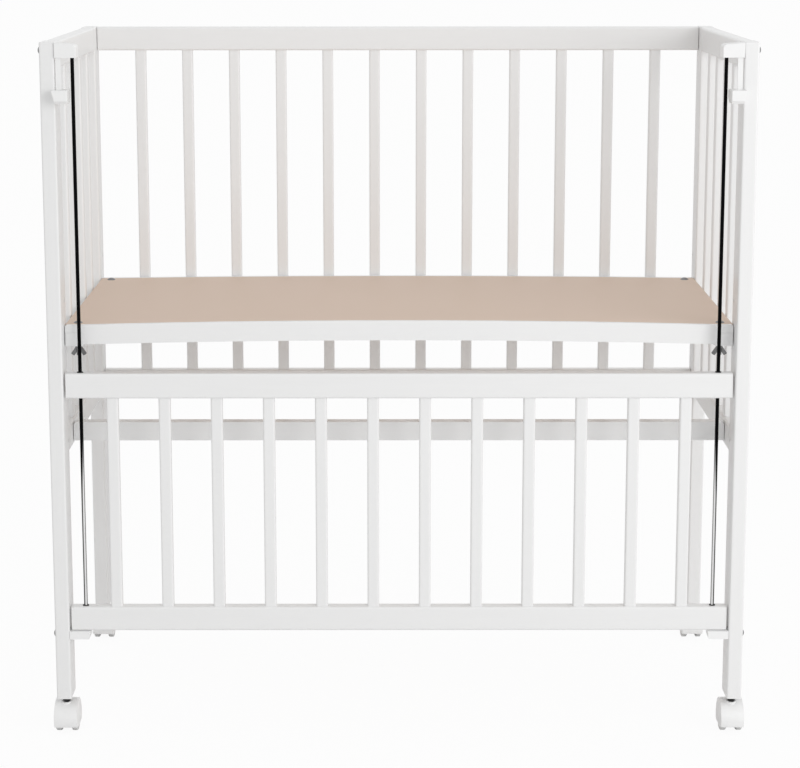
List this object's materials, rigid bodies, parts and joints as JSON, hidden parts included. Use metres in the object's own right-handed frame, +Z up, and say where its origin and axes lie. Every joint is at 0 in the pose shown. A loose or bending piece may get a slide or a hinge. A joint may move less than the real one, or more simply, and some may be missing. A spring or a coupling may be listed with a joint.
{
  "type": "bedside sleeper crib",
  "caption": "White bedside sleeper crib with slatted back and ends, a raised bowed mattress base, a drop side that slides on steel rods, sprung catches and twin-wheel castors.",
  "frame": {"origin": "middle of the footprint, on the floor", "axes": "+X to the right along the crib, +Y to the back panel, +Z up"},
  "size_m": [0.9598, 0.4871, 0.9565],
  "materials": {
    "lacquered_wood": "satin white lacquer",
    "base_board": "matt, fine grain",
    "dowel_beech": "bare",
    "white_plastic": "satin moulded",
    "bush_plastic": "matt",
    "wheel_plastic": "matt moulded",
    "tread_rubber": "matt",
    "rod_steel": "drawn, polished",
    "zinc_steel": "zinc plated",
    "dark_steel": "black"
  },
  "bodies": {
    "frame": {"back_lower_rail": "lacquered_wood", "back_slats": "lacquered_wood", "back_top_rail": "lacquered_wood", "barrel_nuts": "zinc_steel", "base_board": "base_board", "base_bolts": "zinc_steel", "base_crossbar_left": "lacquered_wood", "base_crossbar_right": "lacquered_wood", "base_front_strip": "lacquered_wood", "base_rear_strip": "lacquered_wood", "base_support_left": "lacquered_wood", "base_support_right": "lacquered_wood", "base_washers": "zinc_steel", "bottom_bracket_left": "white_plastic", "bottom_bracket_right": "white_plastic", "bracket_bolts": "zinc_steel", "castor_sockets": "zinc_steel", "castor_stems": "dark_steel", "end_lower_rail_left": "lacquered_wood", "end_lower_rail_right": "lacquered_wood", "end_slats_left": "lacquered_wood", "end_slats_right": "lacquered_wood", "end_top_rail_left": "lacquered_wood", "end_top_rail_right": "lacquered_wood", "frame_dowels": "dowel_beech", "front_post_left": "lacquered_wood", "front_post_right": "lacquered_wood", "guide_rod_left": "rod_steel", "guide_rod_right": "rod_steel", "panel_bolts": "zinc_steel", "rear_post_left": "lacquered_wood", "rear_post_right": "lacquered_wood", "stretcher": "lacquered_wood", "support_screws": "zinc_steel", "top_bracket_left": "white_plastic", "top_bracket_right": "white_plastic", "wing_nuts": "zinc_steel"},
    "drop_side": {"drop_bottom_rail": "lacquered_wood", "drop_top_rail": "lacquered_wood", "drop_slats": "lacquered_wood", "rod_bushes": "bush_plastic"},
    "catch_left": {"catch_left": "white_plastic"},
    "catch_right": {"catch_right": "white_plastic"},
    "castor_swivel_front_left": {"castor_hood_front_left": "white_plastic"},
    "castor_wheelset_front_left": {"castor_axle_front_left": "zinc_steel", "castor_wheels_front_left": "wheel_plastic", "castor_treads_front_left": "tread_rubber"},
    "castor_swivel_front_right": {"castor_hood_front_right": "white_plastic"},
    "castor_wheelset_front_right": {"castor_axle_front_right": "zinc_steel", "castor_wheels_front_right": "wheel_plastic", "castor_treads_front_right": "tread_rubber"},
    "castor_swivel_rear_left": {"castor_hood_rear_left": "white_plastic"},
    "castor_wheelset_rear_left": {"castor_axle_rear_left": "zinc_steel", "castor_wheels_rear_left": "wheel_plastic", "castor_treads_rear_left": "tread_rubber"},
    "castor_swivel_rear_right": {"castor_hood_rear_right": "white_plastic"},
    "castor_wheelset_rear_right": {"castor_axle_rear_right": "zinc_steel", "castor_wheels_rear_right": "wheel_plastic", "castor_treads_rear_right": "tread_rubber"}
  },
  "joints": [
    {"name": "drop_side_slide", "type": "slide", "parent": "frame", "child": "drop_side", "axis": [0, 0, 1], "range_m": [0, 0.4165]},
    {"name": "catch_left_flex", "type": "hinge", "parent": "frame", "child": "catch_left", "pos_m": [-0.448, -0.21995, 0.9392], "axis": [-1, 0, 0], "range_deg": [0, 14], "stiffness_Nm_per_rad": 0.3},
    {"name": "catch_right_flex", "type": "hinge", "parent": "frame", "child": "catch_right", "pos_m": [0.448, -0.21995, 0.9392], "axis": [-1, 0, 0], "range_deg": [0, 14], "stiffness_Nm_per_rad": 0.3},
    {"name": "castor_front_left_swivel", "type": "hinge", "parent": "frame", "child": "castor_swivel_front_left", "pos_m": [-0.4625, -0.19905, 0.044], "axis": [0, 0, 1], "continuous": true},
    {"name": "castor_front_left_roll", "type": "hinge", "parent": "castor_swivel_front_left", "child": "castor_wheelset_front_left", "pos_m": [-0.4625, -0.19105, 0.02], "axis": [1, 0, 0], "continuous": true},
    {"name": "castor_front_right_swivel", "type": "hinge", "parent": "frame", "child": "castor_swivel_front_right", "pos_m": [0.4625, -0.19905, 0.044], "axis": [0, 0, 1], "continuous": true},
    {"name": "castor_front_right_roll", "type": "hinge", "parent": "castor_swivel_front_right", "child": "castor_wheelset_front_right", "pos_m": [0.4625, -0.19105, 0.02], "axis": [1, 0, 0], "continuous": true},
    {"name": "castor_rear_left_swivel", "type": "hinge", "parent": "frame", "child": "castor_swivel_rear_left", "pos_m": [-0.4625, 0.20995, 0.044], "axis": [0, 0, 1], "continuous": true},
    {"name": "castor_rear_left_roll", "type": "hinge", "parent": "castor_swivel_rear_left", "child": "castor_wheelset_rear_left", "pos_m": [-0.4625, 0.21795, 0.02], "axis": [1, 0, 0], "continuous": true},
    {"name": "castor_rear_right_swivel", "type": "hinge", "parent": "frame", "child": "castor_swivel_rear_right", "pos_m": [0.4625, 0.20995, 0.044], "axis": [0, 0, 1], "continuous": true},
    {"name": "castor_rear_right_roll", "type": "hinge", "parent": "castor_swivel_rear_right", "child": "castor_wheelset_rear_right", "pos_m": [0.4625, 0.21795, 0.02], "axis": [1, 0, 0], "continuous": true}
  ]
}
